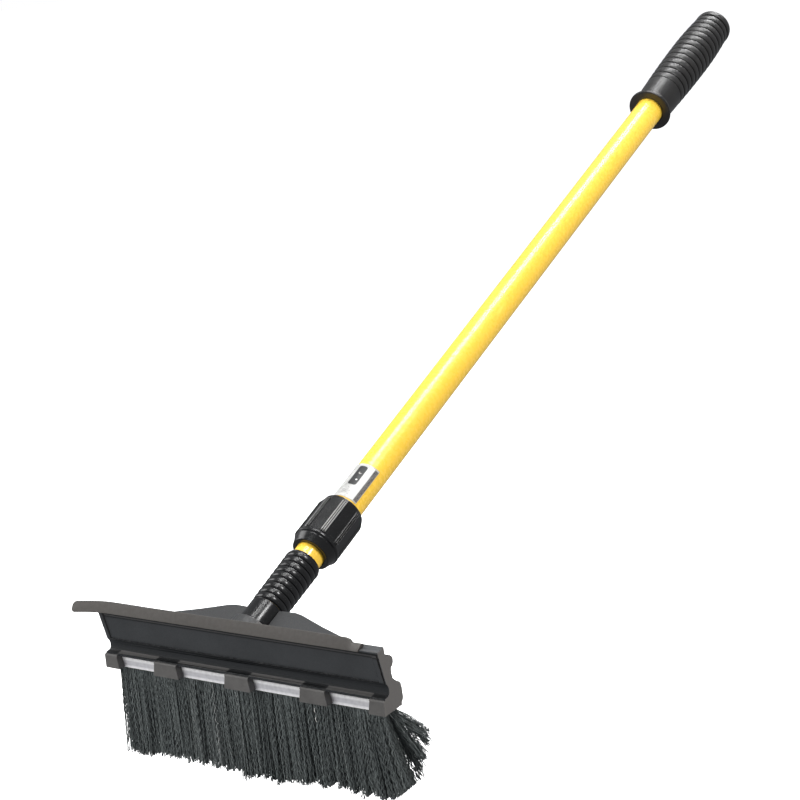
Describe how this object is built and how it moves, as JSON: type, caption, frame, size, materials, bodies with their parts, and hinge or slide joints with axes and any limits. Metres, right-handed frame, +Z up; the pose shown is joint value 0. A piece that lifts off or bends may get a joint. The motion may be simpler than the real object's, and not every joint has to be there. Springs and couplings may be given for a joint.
{
  "type": "snow broom",
  "caption": "Telescopic snow broom with a strip brush and a squeegee blade on a moulded head, a twist lock and a ribbed hand grip.",
  "frame": {"origin": "middle of the hand grip, on the pole's axis", "axes": "+X along the head to the right as seen from the front, +Y and slightly +Z up the pole from the head to the grip, -Z the way the bristles point"},
  "size_m": [0.2985, 0.8293, 0.4379],
  "materials": {
    "moulded_black": "fine matte texture, injection moulded polypropylene",
    "gloss_black": "glossy moulded plastic",
    "grip_rubber": "satin soft vinyl",
    "blade_rubber": "matte rubber, slightly chalky",
    "filament": "crimped black polypropylene filaments",
    "yellow_paint": "glossy yellow powder coat",
    "foil": "printed silver foil sticker",
    "galvanised": "bright galvanised strip",
    "steel": "zinc plated",
    "nylon": "natural nylon"
  },
  "bodies": {
    "handle": {"outer_tube": "yellow_paint", "hand_grip": "grip_rubber", "tube_end_plug": "nylon", "label": "foil", "collet": "nylon", "collet_rivet_1": "steel", "collet_rivet_2": "steel"},
    "guide": {"guide_ring": "grip_rubber"},
    "brush": {"head_body": "moulded_black", "squeegee_blade": "blade_rubber", "brush_channel": "galvanised", "channel_screw_1": "steel", "channel_screw_2": "steel", "channel_screw_3": "steel", "core_wire": "steel", "bristles": "filament", "pole_socket": "gloss_black", "socket_screw_1": "steel", "socket_screw_2": "steel", "inner_tube": "yellow_paint", "tube_foot_plug": "nylon", "ribbed_sleeve": "gloss_black", "guide_bush": "nylon"},
    "wedge": {"wedge_ring": "nylon"},
    "collar": {"lock_collar": "gloss_black"}
  },
  "joints": [
    {"name": "extend", "type": "slide", "parent": "handle", "child": "guide", "axis": [0, -0.9291, -0.3697], "range_m": [-0.007, 0.43]},
    {"name": "head_turn", "type": "hinge", "parent": "guide", "child": "brush", "pos_m": [0, -0.10035, -0.03993], "axis": [0, 0.9291, 0.3697], "continuous": true},
    {"name": "lock_travel", "type": "slide", "parent": "handle", "child": "wedge", "axis": [0, -0.9291, -0.3697], "range_m": [0, 0.0017]},
    {"name": "lock_turn", "type": "hinge", "parent": "wedge", "child": "collar", "pos_m": [0, -0.62066, -0.24699], "axis": [0, 0.9291, 0.3697], "range_deg": [0, 150]}
  ],
  "couplings": [
    {"joint": "lock_travel", "follows": "lock_turn", "m_per_rad": 0.000637}
  ]
}
